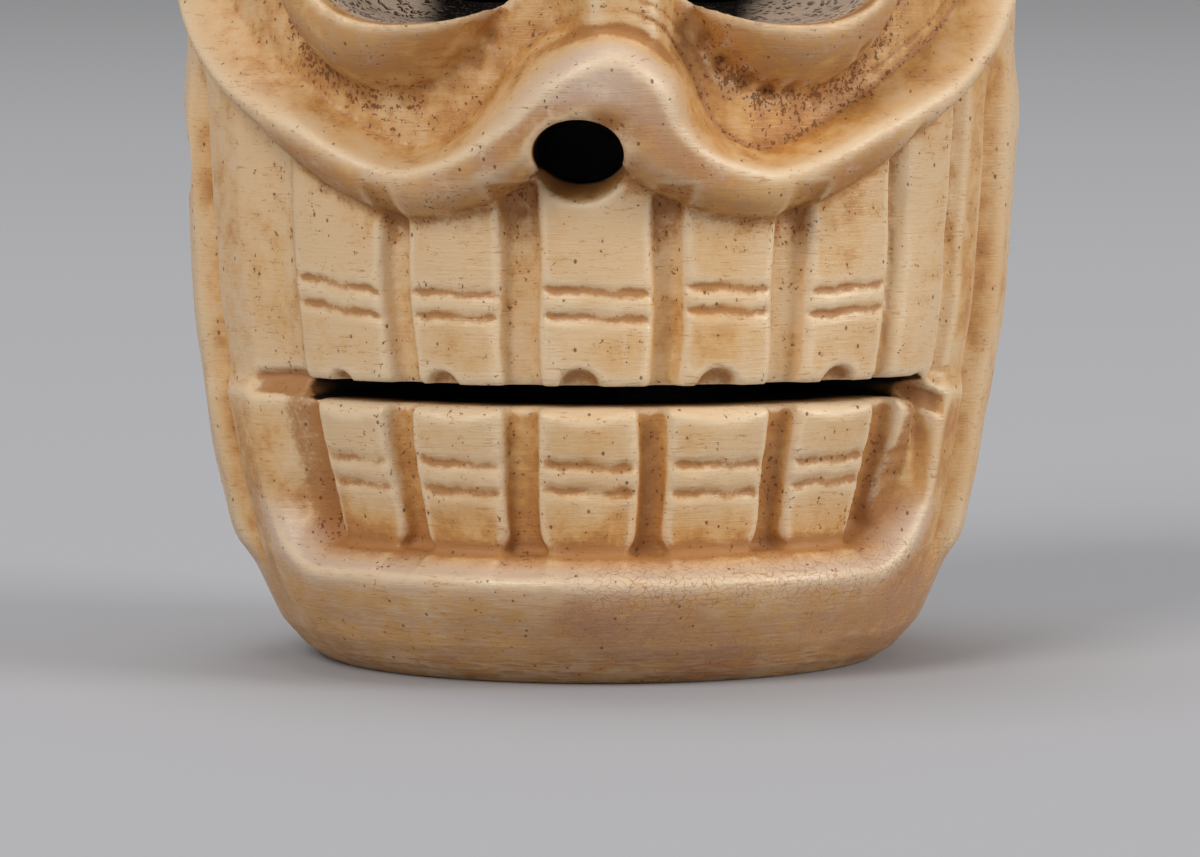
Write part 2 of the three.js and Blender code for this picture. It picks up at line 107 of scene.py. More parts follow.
# The bone before it is carved: height, then half width, front and back depth as shares
bone = {
    "height": 42,
    "width": 29.8,
    "frontDepth": 14.1,
    "backDepth": 15.6,
    "wall": 3.9,
    "roof": 6,
    "shoulder": 5,
    "domeStart": 29,
    "arcPerDegree": 0.25,
    "outline": [
        (0, 0.665, 0.745, 0.66),
        (0.5, 0.712, 0.8, 0.71),
        (1.4, 0.762, 0.87, 0.76),
        (2.7, 0.803, 0.93, 0.8),
        (4.4, 0.842, 0.96, 0.83),
        (8.3, 0.892, 0.965, 0.87),
        (12.6, 0.945, 0.98, 0.92),
        (16.5, 0.965, 0.99, 0.96),
        (23.4, 0.99, 1, 0.99),
        (29, 1, 1, 1),
    ],
}
axisY = headHigh.y / mm - bone["backDepth"]  # the bone's axis stands a little behind the middle of its box


def boneSurface(angle, level, inset=0):
    span = bone["height"] - bone["domeStart"]
    turn = np.clip((level - bone["domeStart"]) / span, 0, 1) * math.pi / 2
    heights = [row[0] for row in bone["outline"]]
    place = np.interp(np.minimum(level, bone["domeStart"]), heights, np.arange(len(heights)))
    shares = alongRows(bone["outline"], place)
    radians = np.radians(angle)
    closing = np.cos(turn)
    across = bone["width"] / 2 * shares[..., 1] * closing**0.85
    front = bone["frontDepth"] * shares[..., 2] * closing**0.75
    back = bone["backDepth"] * shares[..., 3] * closing**0.8
    deep = np.where(np.cos(radians) > 0, front, back)
    z = np.where(level < bone["domeStart"], level, bone["domeStart"] + span * np.sin(turn))
    x, y = across * np.sin(radians), -deep * np.cos(radians)
    scale = 1 - inset / np.maximum(np.hypot(x, y), inset + 1e-9)
    return np.stack([x * scale, y * scale, z + 0 * angle], axis=-1)


def boneNormal(angle, level):
    step = 0.05
    along = boneSurface(angle + 0.5, level) - boneSurface(angle - 0.5, level)
    top = bone["height"] - step
    up = boneSurface(angle, np.minimum(level + step, top)) - boneSurface(angle, np.maximum(level - step, 0))
    up[..., 2] = np.maximum(up[..., 2], 1e-6)
    normal = np.cross(along, up)
    return normal / np.maximum(np.linalg.norm(normal, axis=-1, keepdims=True), 1e-9)


# The rim: from the nose under the cheek, up past the temple and back along the brow.
# Degrees, height, how proud it stands.
rim = {
    "nose": (0, 21.5, 2.8),
    "half": [
        (5.2, 20.75, 2.7),
        (9, 19.4, 2.3),
        (12.5, 18.3, 1.9),
        (17.5, 17.45, 1.55),
        (24.5, 17.0, 1.35),
        (32, 17.45, 1.3),
        (41.5, 18.6, 1.3),
        (53, 20.4, 1.2),
        (63, 22.1, 1.05),
        (71.5, 24.4, 0.9),
        (75, 27.4, 0.85),
        (70, 30.4, 1),
        (56, 32.4, 1.1),
        (39, 33.2, 1.15),
        (22, 32.8, 1.2),
        (9, 31.6, 1.25),
    ],
    "brow": (0, 30.7, 1.5),
    "lean": {"hole": -0.9, "top": 2.8, "middle": 2, "spread": 16, "levels": (17, 21.5), "fade": (25, 28)},
    "crestShift": 0.7,
    "shiftEnds": (9, 14),
    "shiftBelow": 24,
    "outer": 0.72,
    "outerBlunt": 1.15,
    "outerBrow": 0.9,
    "outerShift": 1.1,
    "bluntFrom": 1.3,
    "noseSoftness": 1.0,
    "armsPart": (20.6, 21.4),
}
# The furrows over the brow fade in between two levels and out between two angles
furrows = {
    "count": 3,
    "first": 1.75,
    "apart": 1.1,
    "width": 0.2,
    "depth": 0.22,
    "levels": (30.5, 32),
    "ends": (48, 62),
}
eye = {
    "angles": {1: 26, -1: -23},
    "level": 25.8,
    "halfWidth": 3.9,
    "halfHeight": 3,
    "squareness": 2.4,
    "lidAngle": 29.2,
    "lidLevel": 25.7,
    "lidHalfWidth": 4.5,
    "lidBelow": 5.3,
    "lidAbove": 4.7,
    "lidProud": 1.75,
    "lidRoll": 2.5,
    "floorAtRim": -0.5,
    "floorAtLid": -0.6,
    "bridgeOffset": 0.5,
    "bridgeProud": 1.65,
    "bridgeFlat": 0.8,
    "bridgeFoot": 2.3,
    "inner": 0.95,
    "innerPerProud": 0.3,
    "innerPerShift": 0.75,
    "softness": 0.12,
    "lineDepth": 0.12,
    "secondLineDepth": 0.1,
    "overNoseDepth": 0.1,
    # how far out each ring of the socket's cutter lies, its size, and how far it leans to the nose
    "socket": [(0.9, 1, 0), (-1.2, 0.97, 0.2), (-3, 0.82, 0.8), (-5.9, 0.73, 1.3)],
    "socketStart": 4,
    "socketStartSize": 1.05,
    "socketReach": 21,
}


def rimPath():
    mirrored = [(-angle, level, proud) for angle, level, proud in rim["half"]][::-1]
    around = [rim["nose"], *rim["half"], rim["brow"], *mirrored]
    corners = [around[-1], *around, around[0], around[1]]
    path = alongRows(corners, 1 + np.arange(len(around) * 6) / 6)
    path[:, 0] *= bone["arcPerDegree"]
    return path


def nearestRim(s, z):
    distance = np.full(s.shape, 99.0)
    proud = np.zeros(s.shape)
    inside = np.zeros(s.shape, bool)
    arms = [np.full(s.shape, 99.0), np.full(s.shape, 99.0)]
    path = rimPath()
    for a, b in zip(path, np.roll(path, -1, axis=0)):
        ds, dz = b[0] - a[0], b[1] - a[1]
        t = np.clip(((s - a[0]) * ds + (z - a[1]) * dz) / (ds * ds + dz * dz), 0, 1)
        away = np.hypot(s - a[0] - t * ds, z - a[1] - t * dz)
        arm = arms[int(a[0] + b[0] > 0)]
        np.minimum(arm, away, out=arm)
        closer = away < distance
        distance[closer] = away[closer]
        proud[closer] = (a[2] + t * (b[2] - a[2]))[closer]
        if dz:
            inside ^= ((a[1] > z) != (b[1] > z)) & (s < a[0] + (z - a[1]) / dz * ds)
    # under the tip of the nose the two arms of the ridge run together softly
    together = np.maximum(-softMax(-arms[0], -arms[1], rim["noseSoftness"]), 0)
    distance = blend(distance, together, 1 - rise(*rim["armsPart"], z))
    # under the eyes the crest lies nearer the eyes, so that the outer face is the broad one
    blunt = np.clip(proud - rim["bluntFrom"], 0, 1)
    shift = rim["crestShift"] * (1 - blunt) * (1 - rise(*rim["shiftEnds"], np.abs(s)))
    shift = shift * (z < rim["shiftBelow"])
    fromCrest = np.where(inside, distance, -distance) - shift
    return np.abs(fromCrest), proud, fromCrest > 0, shift


def leanAt(angle, z):
    lean = rim["lean"]
    amount = blend(lean["hole"], lean["top"], rise(*lean["levels"], z))
    return amount * bell(angle - lean["middle"], lean["spread"]) * (1 - rise(*lean["fade"], z))


def insideLid(s, z):
    ds = np.abs(np.abs(s) - eye["lidAngle"] * bone["arcPerDegree"]) / eye["lidHalfWidth"]
    tall = np.where(z > eye["lidLevel"], eye["lidAbove"], eye["lidBelow"])
    return (1 - np.hypot(ds, np.abs(z - eye["lidLevel"]) / tall)) * eye["lidHalfWidth"]


def eyeRegion(s, z, distance, proud, shift):
    inner = eye["inner"] + eye["innerPerProud"] * proud - eye["innerPerShift"] * shift
    fromLid = -insideLid(s, z)
    floor = blend(eye["floorAtLid"], eye["floorAtRim"], rise(0.2, 1.6, fromLid))
    share = np.clip(distance / inner, 0, 1)
    face = floor + (proud - floor) * (1 - share**2) ** 1.2
    onRight = rise(0.2, 1.5, s)
    line = bell(distance - inner - 0.05, 0.09) * (0.25 + 0.75 * onRight) * (1 - rise(25, 28, z))
    secondLine = bell(distance - inner - 0.5, 0.08) * onRight * rise(19.5, 21.5, z) * (1 - rise(25, 28, z))
    bridgeShare = 1 - rise(eye["bridgeFlat"], eye["bridgeFoot"], np.abs(s - eye["bridgeOffset"]))
    bridge = floor + (eye["bridgeProud"] - floor) * bridgeShare
    roll = np.clip(insideLid(s, z) / eye["lidRoll"], 0, 1.35)
    lid = floor + (eye["lidProud"] - floor) * (1 - np.abs(1 - roll / 0.85) ** 2.3)
    height = softMax(softMax(face, bridge, 0.35), np.where(roll > 0, lid, floor - 1), eye["softness"])
    overNose = bell(distance - inner * 0.66, 0.22) * bell(s - 0.6, 2.8) * rise(19.5, 21.5, z)
    onNose = bell(s + 0.1, 2.5) * (1 - rise(0.3, 0.55, share))
    lidFoot = bell(fromLid - 0.25, 0.55) * (1 - rise(25.5, 27, z))
    channel = rise(0.7, 1.1, share) * (1 - rise(0.05, 0.6, insideLid(s, z)))
    dusted = np.where(s < 0, rise(5.2, 7.6, -s), rise(3, 5, s))
    onLid = rise(0.0, 0.3, roll) * (1 - 0.35 * rise(0.75, 1.2, roll))
    crest = (1 - rise(0.0, 0.75, share)) * (1 - onLid)
    # the lids and their feet are honeyed, partly stain and partly painted shade
    honey = 0.36 + 0.2 * channel + 0.3 * onRight + 0.7 * onLid + 0.3 * lidFoot - 0.2 * crest + 0.4 * overNose
    marks = {
        "stain": np.clip(1.0 * line + 0.8 * secondLine + 1.6 * overNose, 0, 1.2),
        "honey": np.clip(honey, 0, 1.3),
        "specks": np.clip(1.1 * lidFoot * dusted + 0.3 * channel + 0.9 * line, 0, 1.2),
        # chalk is the nose's own pale patch, and a painted highlight along the ridge's crest and the lid's
        # inner edge
        "chalkAndHighlight": 0.2 * crest + 0.2 * rise(0.95, 1.3, roll) + onNose,
    }
    height = height - eye["lineDepth"] * line - eye["secondLineDepth"] * secondLine
    return height - eye["overNoseDepth"] * overNose, marks


# Each row of teeth: its gaps as pairs of edges in degrees and the softness of their sides,
# and its scored lines as heights and tilt
upperRow = {
    "gaps": [
        (-60, -45.3),
        (-29.9, -25.4),
        (-12.2, -6.5),
        (8.9, 13.4),
        (26.4, 32),
        (45.6, 49.1),
        (58.6, 63.5),
    ],
    "soft": [(2.3, 1.0), (0.3, 0.28), (0.22, 0.22), (0.24, 0.24), (0.26, 0.26), (0.4, 0.8), (0.9, 1.0)],
    "gapDepth": 0.6,
    "lines": [
        (13.85, 13.0, -0.12),
        (13.65, 12.85, -0.04),
        (13.75, 12.85, -0.05),
        (13.85, 13.05, -0.05),
        (13.75, 12.95, 0.06),
        (13.9, 13.1, 0),
    ],
    "scored": [0.85, 0.8, 1, 0.9, 1, 0.12],
    "lineDepth": 0.19,
    "lineWidth": 0.13,
    "scoops": [(-38.5, 0.45), (-21.4, 0.6), (-1.2, 0.8), (18.8, 0.8), (38.4, 0.72), (53.6, 0.01)],
    "scoopDepth": 0.6,
}
lowerRow = {
    "gaps": [(-50.5, -45.1), (-31.9, -27.2), (-13, -7.4), (7.4, 12), (27.6, 32.5), (46.7, 52.3), (57, 60)],
    "soft": [(0.9, 0.5), (0.26, 0.24), (0.2, 0.2), (0.2, 0.2), (0.24, 0.24), (0.24, 0.3), (0.25, 0.4)],
    "gapDepth": 0.6,
    "lines": [
        (7.75, 6.85, -0.03),
        (7.75, 6.8, -0.03),
        (7.75, 6.85, -0.04),
        (7.75, 6.75, -0.03),
        (7.75, 6.95, 0.02),
        (7.75, 6.9, 0),
    ],
    "scored": [0.8, 1, 1, 1, 1, 0.6],
    "lineDepth": 0.17,
    "lineWidth": 0.15,
    "spread": 0.16,
    "footInset": 1.25,
    "edgeInset": 0.2,
}
tooth = {
    "crowned": 0.08,
    "lineEnds": (0.78, 1.0),
    "scoopEdge": (0.72, 1.02),
    "bevelDrop": (0.16, 0.42),
    "bevelDepth": 0.34,
    "edgeDepth": 0.1,
    "edgeWidth": 0.16,
}
mouth = {"level": 10.12, "gap": 0.76, "ends": (-48.5, 55.5), "endDiameter": 0.9}
runOut = {"depth": 0.45, "soft": (0.26, 0.44), "leftLevel": 10.15, "rightLevel": 9.9, "rightTilt": 0.1}
jaw = {
    "left": -61,
    "right": 63,
    "bottom": 3.8,
    "corner": 3.2,
    "leftSlope": 2.3,
    "rightSlope": 1.4,
    "bottomSlope": 0.85,
    "lipProud": 0.35,
    "lipWidth": 1.5,
}
cheek = {"angle": 73, "depth": 0.55, "width": 0.55, "low": 3, "high": 22, "bulge": 0.35}
jawCorner = {"angle": 90, "level": 7, "halfWidth": 3.5, "halfHeight": 3.6, "left": 0.45, "right": 0.15}
noseHole = {"angle": -0.9, "level": 18.5, "width": 3.1, "height": 2.3}
noseEdge = {"level": 18.15, "width": 3.0, "height": 2.55, "slope": 0.45, "deep": 0.8, "sink": 0.3}
cordHole = {"angles": (-84.5, 92), "level": 18, "width": 3.4, "height": 3}


def toothRow(angle, z, row, stretch, edge, upwards):
    inGap, face = np.zeros(angle.shape), np.zeros(angle.shape)
    stain = np.zeros(angle.shape)
    per = bone["arcPerDegree"]
    for i, (left, right) in enumerate(row["gaps"]):
        waver = 0.2 * np.sin(z * 1.1 + i * 2.1)
        middle = (left + right) / 2 * stretch + waver
        half = (right - left) / 2 * per
        if not upwards:
            half = half + 0.3 * np.clip((5.5 - z) / 0.8, 0, 1) ** 2  # the lower teeth have rounded feet
        away = np.abs(angle - middle) * per
        soft = np.where(angle < middle, *row["soft"][i])
        inGap = np.maximum(inGap, 1 - rise(half - soft, half + 0.1, away))
        if i + 1 == len(row["gaps"]):
            break
        nextLeft = row["gaps"][i + 1][0]
        centre = (right + nextLeft) / 2 * stretch
        halfTooth = (nextLeft - right) / 2 * per
        across = np.clip((angle - centre) * per / halfTooth, -1.3, 1.3)
        onTooth = np.abs(across) < 1.25
        high, low, tilt = row["lines"][i]
        # a file's line wanders a little, and is deeper here and there
        slant = tilt * (angle - centre) * per
        slant = slant + 0.035 * np.sin(angle * 0.9 + i) + 0.02 * np.sin(angle * 2.3 + i)
        pressed = row["scored"][i] * (1 + 0.25 * np.sin(angle * 0.55 + i * 1.7))
        scored = bell(z - high - slant, row["lineWidth"]) + bell(z - low - slant, row["lineWidth"])
        scored = scored * pressed * (1 - 0.55 * rise(*tooth["lineEnds"], np.abs(across)))
        carved = tooth["crowned"] * (1 - across**2) - row["lineDepth"] * scored
        around = bell(z - high - slant + 0.08, 0.3) + bell(z - low - slant + 0.08, 0.3)
        marked = scored * 0.9 + around * 0.35 * row["scored"][i]
        if upwards:
            scoopAngle, radius = row["scoops"][i]
            reach = np.hypot((angle - scoopAngle) * per, (z - edge) * 1.25) / radius
            scooped = 1 - rise(*tooth["scoopEdge"], reach)
            carved = carved - row["scoopDepth"] * scooped
            marked = np.maximum(marked, scooped * 0.8)
        else:
            least, more = tooth["bevelDrop"]
            drop = least + more * (1 - np.clip(np.abs(across), 0, 1) ** 1.4)
            bevel = np.clip((z - edge + drop) / drop, 0, 1)
            carved = carved - tooth["bevelDepth"] * bevel**1.2
            marked = marked * 0.8 + 0.3 * bevel
        face = np.where(onTooth, carved, face)
        stain = np.where(onTooth, marked, stain)
    soft = tooth["edgeDepth"] * bell(z - edge, tooth["edgeWidth"])
    return blend(face, -row["gapDepth"], inGap) - soft, stain * (1 - inGap), inGap


def insideJaw(s, z):
    across = np.minimum(s - jaw["left"] * bone["arcPerDegree"], jaw["right"] * bone["arcPerDegree"] - s)
    sideSlope = np.where(s < 0, jaw["leftSlope"], jaw["rightSlope"])
    short = np.maximum(jaw["corner"] - across, 0)
    low = np.maximum(jaw["corner"] - (z - jaw["bottom"]), 0)
    slope = blend(jaw["bottomSlope"], sideSlope, short / np.maximum(short + low, 1e-6))
    return (jaw["corner"] - np.hypot(short, low)) / slope


def lowerFace(angle, z):
    edge = mouth["level"] - mouth["gap"] / 2
    inset = blend(lowerRow["footInset"], lowerRow["edgeInset"], rise(jaw["bottom"], mouth["level"], z))
    stretch = 1 + lowerRow["spread"] * (1 - np.clip(z / mouth["level"], 0, 1))
    teeth, stain, inGap = toothRow(angle, z, lowerRow, stretch, edge, False)
    opened = insideJaw(angle * bone["arcPerDegree"], z)
    lip = jaw["lipProud"] * bell(np.minimum(opened, 0), jaw["lipWidth"])
    within = rise(0, 1, opened)
    # a brown band where the lower teeth meet the jaw's inner slope: partly stain, partly painted shade
    foot = bell(opened - 1.15, 0.4) * (opened < 3)
    foot = foot + 0.5 * rise(0.5, 1.0, opened) * (1 - rise(1.0, 2.2, opened))
    honey = np.clip(0.85 * inGap + 0.85 * (1 - rise(4.3, 7.4, z)) - 0.32, -0.32, 0.75)
    honey = honey * rise(0.1, 0.9, opened)
    # along the jaw's lip the bone is paler, with less honey and more chalk: a painted highlight
    marks = {
        "stain": np.clip(stain * 0.9 + 0.8 * foot, 0, 1) * within,
        "honey": honey + 0.5 - 0.6 * bell(opened - 0.05, 0.5) * (z < 6),
        "specks": (0.14 + 0.3 * inGap) * rise(0.0, 0.8, opened),
        "chalkAndHighlight": 1.1 * bell(opened - 0.05, 0.6) * (1 - rise(4.8, 7, z)),
    }
    return blend(lip, teeth - inset, within), marks


def upperFace(angle, z):
    edge = mouth["level"] + mouth["gap"] / 2
    first, last = upperRow["gaps"][0][0], upperRow["gaps"][-1][1]
    inRow = rise(first - 1, first + 3, angle) * (1 - rise(last - 0.5, last + 1.5, angle))
    teeth, stain, inGap = toothRow(angle, z, upperRow, 1.0, edge, True)
    inGap = inGap * inRow
    marks = {
        "stain": np.clip(stain * 0.9 + 0.6 * inGap * rise(14.6, 16.4, z) * (angle > -44), 0, 1) * inRow,
        "honey": 0.42 - 0.25 * inGap - 0.33 * inRow * (1 - inGap) + 0.3 * bell(angle - 19.5, 6) * (1 - inGap),
        "specks": 0.3 * inGap * (0.4 + 0.6 * rise(13, 16, z)) + 0.1 * inRow,
        "chalkAndHighlight": 0 * angle,
    }
    return teeth * inRow, marks


def cheekCarving(angle, z):
    sideways = np.abs(angle)
    per = bone["arcPerDegree"]
    fade = rise(cheek["low"], cheek["low"] + 2, z) * (1 - rise(cheek["high"] - 3, cheek["high"], z))
    bulge = cheek["bulge"] * fade * rise(72, 78, sideways) * (1 - rise(83, 105, sideways))
    groove = cheek["depth"] * fade * bell((sideways - cheek["angle"]) * per, cheek["width"])
    corner = np.where(angle > 0, jawCorner["right"], jawCorner["left"])
    corner = corner * bell((sideways - jawCorner["angle"]) * per, jawCorner["halfWidth"])
    corner = corner * bell(z - jawCorner["level"], jawCorner["halfHeight"])
    return bulge + corner - groove


# Small pits: degrees, height, radius and depth. The scattered ones follow the foot of each lid.
pits = {
    "bored": [
        (-13.2, 22.3, 0.26, 0.22),
        (-12.0, 23.2, 0.22, 0.18),
        (-15.2, 21.3, 0.2, 0.18),
        (16.6, 22.3, 0.28, 0.35),
        (18.9, 21.45, 0.3, 0.4),
        (22.4, 20.8, 0.24, 0.35),
        (25.6, 20.55, 0.26, 0.5),
        (28.6, 20.6, 0.2, 0.4),
        (37.5, 21.9, 0.24, 0.4),
        (-27.6, 16.0, 0.17, 0.3),
        (-9.4, 16.4, 0.17, 0.32),
        (11.2, 16.5, 0.16, 0.3),
        (29.3, 16.2, 0.17, 0.25),
    ],
    "aroundLid": 150,
    "turns": (-2.9, 0.0),
    "offLid": (0.35, 0.32),
    "radii": (0.07, 0.15),
    "depths": (0.06, 0.14),
    "seed": 7,
}


def scatteredPits():
    random = np.random.default_rng(pits["seed"])
    found = list(pits["bored"])
    for _ in range(pits["aroundLid"]):
        side = random.choice((-1, 1))
        turn = random.uniform(*pits["turns"])
        off = random.normal(*pits["offLid"])
        s = eye["lidAngle"] * bone["arcPerDegree"] + (eye["lidHalfWidth"] + off) * math.cos(turn)
        z = eye["lidLevel"] + (eye["lidBelow"] + off) * math.sin(turn)
        angle = side * s / bone["arcPerDegree"]
        found.append((angle, z, random.uniform(*pits["radii"]), random.uniform(*pits["depths"])))
    return found


def relief(angle, z):
    # how far the carving stands off the bone, and what has settled on it
    s = (angle - leanAt(angle, z)) * bone["arcPerDegree"]
    depth = np.zeros(angle.shape)
    found = {name: np.zeros(angle.shape) for name in ("stain", "honey", "specks", "chalkAndHighlight")}
    front = (np.abs(angle) < 130) & (z < 38)
    a, h, sf = angle[front], z[front], s[front]
    distance, proud, inside, shift = nearestRim(sf, h)

    nearMouth = rise(mouth["level"] - mouth["gap"] / 2, mouth["level"] + mouth["gap"] / 2, h)
    lower, lowerMarks = lowerFace(a, h)
    upper, upperMarks = upperFace(a, h)
    toothed = ((h < 17.5) | (np.abs(a) > 43)) * (1 - rise(26, 28, h))
    carved = blend(lower, upper, nearMouth) * toothed
    marks = {name: blend(lowerMarks[name], upperMarks[name], nearMouth) * toothed for name in found}
    marks["honey"] += 0.45 * (1 - toothed)
    carved = carved + cheekCarving(a, h)
    marks["honey"] += 0.2 * bell((np.abs(a) - cheek["angle"]) * bone["arcPerDegree"], 0.7) * (h < 22)
    marks["honey"] -= 0.3 * rise(75, 79, np.abs(a))
    marks["honey"] += 0.45 * rise(48, 57, np.abs(a)) * (1 - rise(66, 76, np.abs(a))) * (1 - rise(8.5, 10, h))
    for holeAngle in cordHole["angles"]:
        near = np.hypot((a - holeAngle) * bone["arcPerDegree"], h - cordHole["level"])
        marks["honey"] += 0.4 * (1 - rise(1.8, 3.2, near))
        marks["stain"] += 0.9 * (1 - rise(1.6, 2.2, near))
    # the saw ran on a little past each end of the mouth
    straight = 1 - rise(*runOut["soft"], np.abs(h - runOut["leftLevel"]))
    sawn = straight * rise(-61, -58, a) * (1 - rise(-50, -47, a))
    sloping = 1 - rise(*runOut["soft"], np.abs(h - runOut["rightLevel"] + runOut["rightTilt"] * (a - 57)))
    sawn += sloping * rise(54, 56, a) * (1 - rise(61, 63, a))
    carved = carved - runOut["depth"] * sawn
    marks["stain"] += 1.2 * np.clip(sawn, 0, 1)

    blunt = np.clip(proud - rim["bluntFrom"], 0, 1)
    outer = rim["outer"] + rim["outerBlunt"] * blunt + rim["outerBrow"] * rise(28, 31, h)
    outer = outer + rim["outerShift"] * shift
    share = np.clip(distance / outer, 0, 1)
    top = (1 - share ** (2.0 + 4 * blunt)) ** 0.75
    outside = np.where(share < 1, softMax(carved, carved + (proud - carved) * top, 0.16), carved)
    for k in range(furrows["count"]):
        furrow = furrows["depth"] * bell(distance - furrows["first"] - furrows["apart"] * k, furrows["width"])
        outside = outside - furrow * rise(*furrows["levels"], h) * (1 - rise(*furrows["ends"], np.abs(a)))
    # under the rim's outer foot the bone is stained and specked, and darkened as painted shade
    underRimStainAndShade = bell(distance - outer - 0.1, 0.35) * (h < 24)
    onRidge = 0.8 + 0.6 * rise(0.2, 0.8, share) + 0.55 * rise(1, 3, sf)
    marks["honey"] = np.maximum(marks["honey"], onRidge * (share < 1))
    marks["honey"] += 0.5 * bell(sf - 3.2, 1.8) * rise(0.3, 0.8, share) * (share < 1) * (h < 21)
    marks["honey"] += 0.3 * bell(np.maximum(distance - outer, 0), 0.7) * (h < 26)
    marks["stain"] *= share >= 1
    marks["stain"] += 0.42 * underRimStainAndShade
    marks["chalkAndHighlight"] *= share >= 1
    # the ridge's crest gets a painted highlight, and the nose its own pale patch
    onNose = bell(sf + 0.3, 2.3) * (1 - rise(0.35, 0.9, share)) * (h < 26)
    marks["chalkAndHighlight"] += 0.15 * (1 - rise(0.0, 0.45, share)) + 0.9 * onNose
    marks["specks"] += 0.35 * underRimStainAndShade + 0.12 * bell(distance - outer * 0.8, 0.8) * (h < 24)
    fromNose = np.hypot((a - noseHole["angle"]) * bone["arcPerDegree"], (h - noseHole["level"]) * 1.35)
    fromNose = fromNose / (noseHole["width"] / 2)
    aroundNose = 1 - rise(1.0, 1.85, fromNose)
    marks["chalkAndHighlight"] *= 1 - aroundNose
    marks["honey"] += 0.8 * aroundNose
    marks["stain"] += 0.5 * aroundNose

    hollowed, eyeMarks = eyeRegion(sf, h, distance, proud, shift)
    depth[front] = np.where(inside, hollowed, outside)
    for name in found:
        found[name][front] = np.clip(np.where(inside, eyeMarks[name], marks[name]), 0, 1.2)
    # the crown and the back are plainer than the face
    plain = np.maximum(rise(95, 128, np.abs(angle)), rise(33.5, 37.5, z))
    found["honey"] = blend(found["honey"], 0.27, plain)

    for pitAngle, level, radius, deep in scatteredPits():
        near = (np.abs(z - level) < radius * 2.5) & (np.abs(angle - pitAngle) < radius * 10)
        away = np.hypot((angle[near] - pitAngle) * bone["arcPerDegree"], z[near] - level)
        depth[near] -= deep * bell(away, radius)
        found["stain"][near] = np.maximum(found["stain"][near], bell(away, radius) * min(1, deep * 4))
    return depth, found


# The slow unevenness that a file leaves: sizes and amounts
wobble = {"waves": ((3.2, 0.016), (1.3, 0.007)), "ofEach": 6, "fullTurn": 6.28, "seed": 11}


def handWobble(points):
    random = np.random.default_rng(wobble["seed"])
    fullTurn = wobble["fullTurn"]
    total = np.zeros(len(points))
    for size, amount in wobble["waves"]:
        for _ in range(wobble["ofEach"]):
            direction = random.normal(size=3)
            direction /= np.linalg.norm(direction)
            phase = random.uniform(0, fullTurn)
            total += amount * np.sin(points @ direction * (fullTurn / size) / 2 + phase)
    return total


def readPoints(mesh):
    points = np.empty(len(mesh.vertices) * 3)
    mesh.vertices.foreach_get("co", points)
    return points.reshape(-1, 3)


def writePoints(mesh, points):
    mesh.vertices.foreach_set("co", np.ascontiguousarray(points).ravel())
    mesh.update()


def deselectAll():
    bpy.ops.object.select_all(action="DESELECT")


# The columns crowd towards the face, by a share of the turn and one of its cube.
# The carving fades out just under the crown.
detail = {
    "columns": 90,
    "rows": 58,
    "halvings": 3,
    "baseShare": 0.05,
    "turnShares": (0.45, 0.55),
    "underCrown": (3, 1),
    "voxel": 0.125,
    "triangles": 185000,
}


def carveOutside():
    # a sphere's rings become level rings round the bone, closer together at the face
    deselectAll()
    bpy.ops.mesh.primitive_uv_sphere_add(segments=detail["columns"], ring_count=detail["rows"], radius=1)
    head = bpy.context.object
    head.name = "carvedBone"
    halved = head.modifiers.new("halved", "SUBSURF")
    halved.subdivision_type = "SIMPLE"
    halved.levels = halved.render_levels = detail["halvings"]
    bpy.ops.object.modifier_apply(modifier=halved.name)
    points = readPoints(head.data)
    turn = np.arctan2(points[:, 0], -points[:, 1]) / math.pi
    even, crowded = detail["turnShares"]
    angle = 180 * (even * turn + crowded * turn**3)
    up = np.arctan2(points[:, 2], np.hypot(points[:, 0], points[:, 1])) / math.pi + 0.5
    base = detail["baseShare"]
    level = np.clip((up - base) / (1 - base), 0, 1) * bone["height"]
    surface = boneSurface(angle, level)
    normal = boneNormal(angle, level)
    normal[:, 2] *= rise(0, 2, surface[:, 2])
    low, high = detail["underCrown"]
    crown = 1 - rise(bone["height"] - low, bone["height"] - high, surface[:, 2])
    height = relief(angle, surface[:, 2])[0] * crown + handWobble(surface) * rise(0, 1, surface[:, 2]) * crown
    surface = surface + normal * height[:, None]
    surface[:, :2] *= np.clip(up / base, 0, 1)[:, None]
    writePoints(head.data, surface)
    return head


def extrudeRings(rings):
    # a circle drawn out ring by ring: each ring is a move and a growth
    bpy.ops.object.mode_set(mode="EDIT")
    bpy.ops.mesh.select_all(action="SELECT")
    for move, growth in rings:
        bpy.ops.mesh.extrude_region_move(TRANSFORM_OT_translate={"value": move})
        bpy.ops.transform.resize(value=(growth, growth, growth))
    bpy.ops.object.mode_set(mode="OBJECT")


def recalculate(thing):
    deselectAll()
    thing.select_set(True)
    bpy.context.view_layer.objects.active = thing
    bpy.ops.object.transform_apply(location=True, rotation=True, scale=True)
    bpy.ops.object.mode_set(mode="EDIT")
    bpy.ops.mesh.select_all(action="SELECT")
    bpy.ops.mesh.normals_make_consistent(inside=False)
    bpy.ops.object.mode_set(mode="OBJECT")


def combine(body, cutter, operation="DIFFERENCE"):
    recalculate(cutter)
    deselectAll()
    body.select_set(True)
    bpy.context.view_layer.objects.active = body
    cut = body.modifiers.new("cut", "BOOLEAN")
    cut.operation = operation
    cut.object = cutter
    cut.solver = "MANIFOLD"
    bpy.ops.object.modifier_apply(modifier=cut.name)
    bpy.data.objects.remove(cutter, do_unlink=True)


